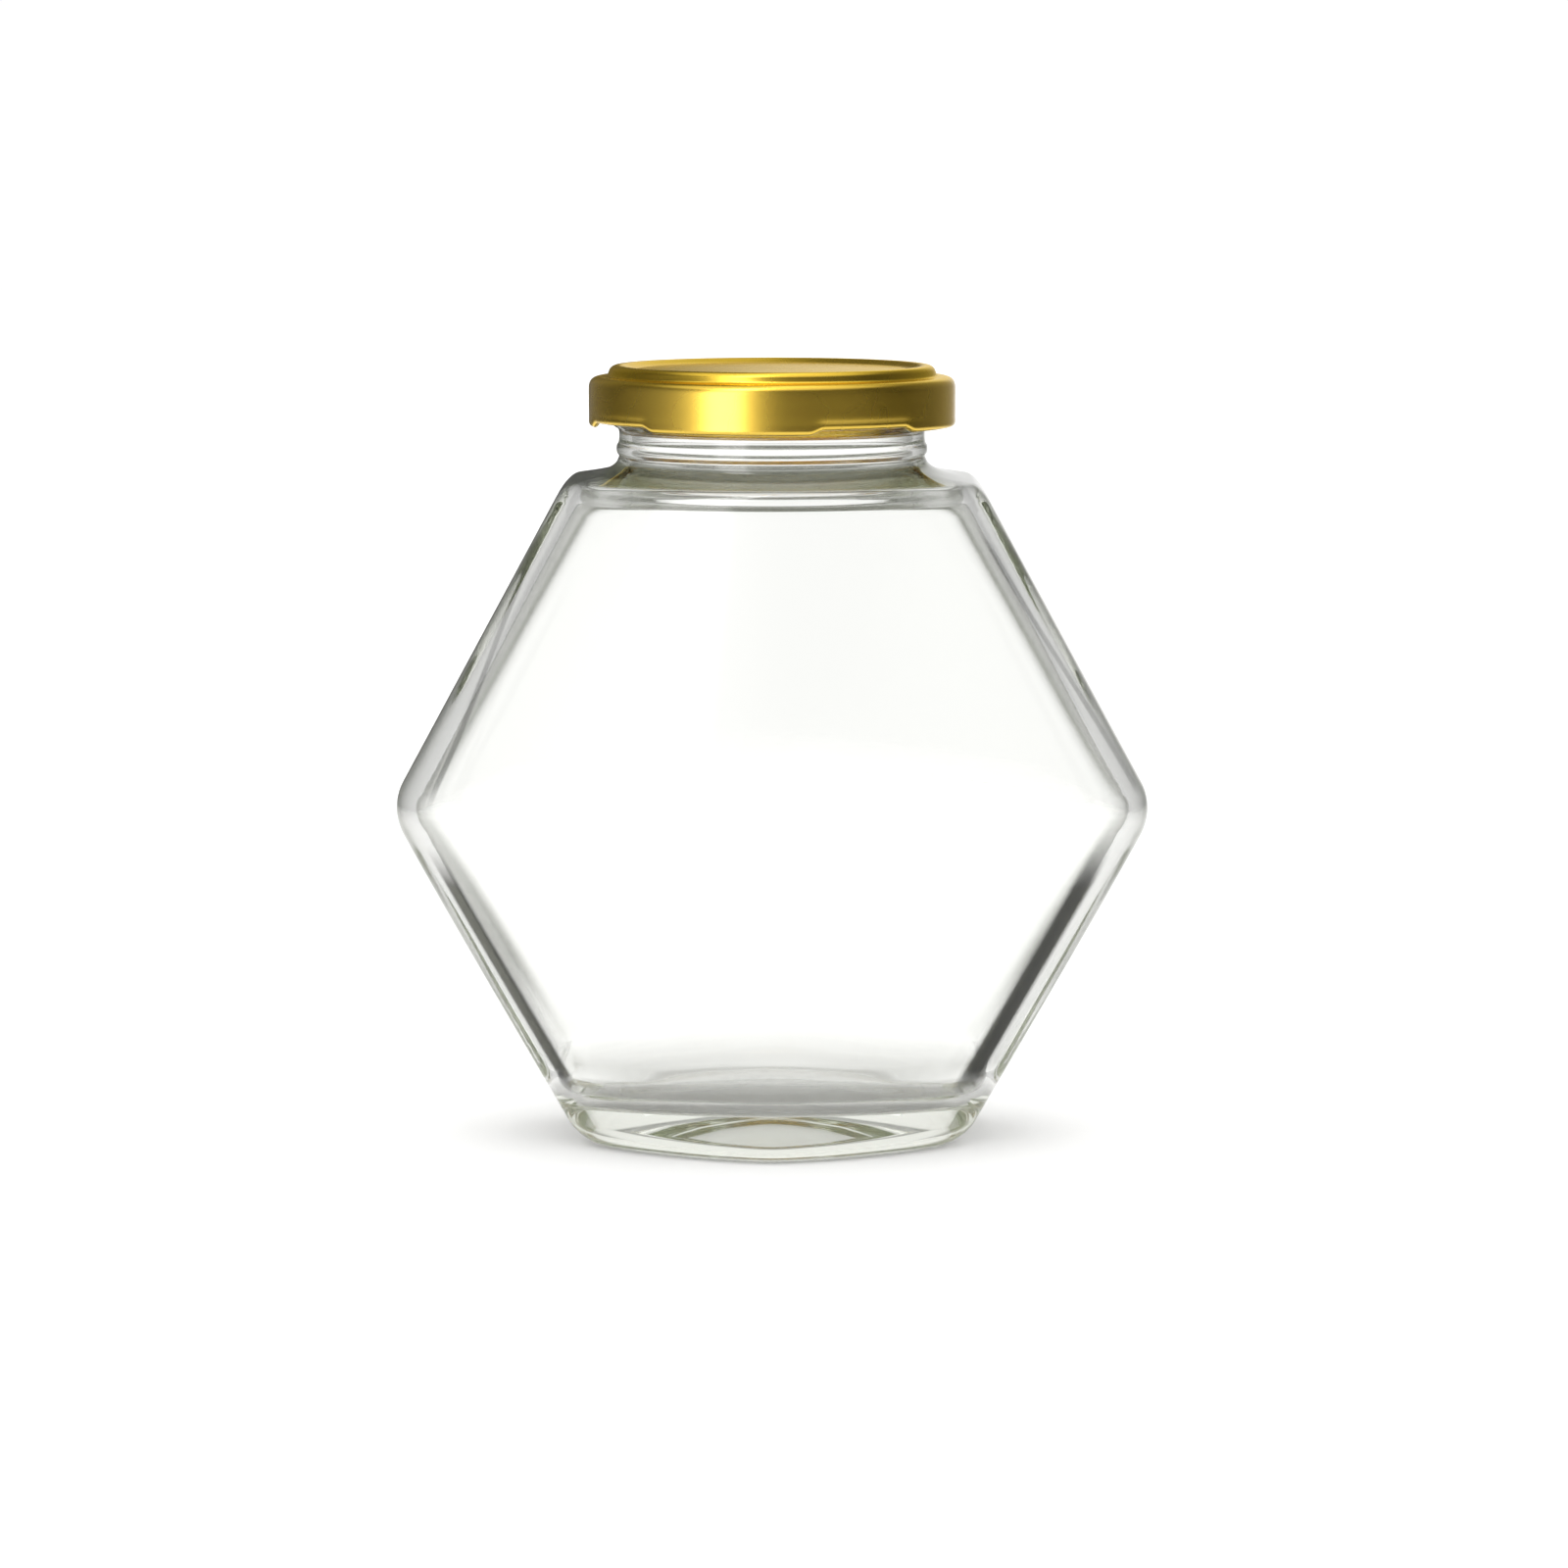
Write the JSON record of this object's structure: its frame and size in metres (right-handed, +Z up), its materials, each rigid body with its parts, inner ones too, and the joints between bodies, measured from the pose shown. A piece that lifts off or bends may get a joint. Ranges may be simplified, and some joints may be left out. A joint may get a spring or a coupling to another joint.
{
  "type": "hexagonal glass jar with metal lid",
  "caption": "Clear glass food jar with a hexagonal front outline, bowed front and back, a short round neck and a gold metal twist-off lid.",
  "frame": {"origin": "centre of the bounding box at the height of the surface that the jar stands on; the neck's axis passes through it", "axes": "+Z up along the neck's axis, -Y the side that the picture shows, X across the hexagonal outline"},
  "size_m": [0.1264, 0.064, 0.1297],
  "materials": {
    "glass": "clear, polished, thick at the base, with a faint green-grey tint on the edges",
    "gold_lid": "satin gold lacquer on tinplate"
  },
  "bodies": {
    "root": {"jar_glass": "glass", "lid": "gold_lid"}
  },
  "joints": []
}
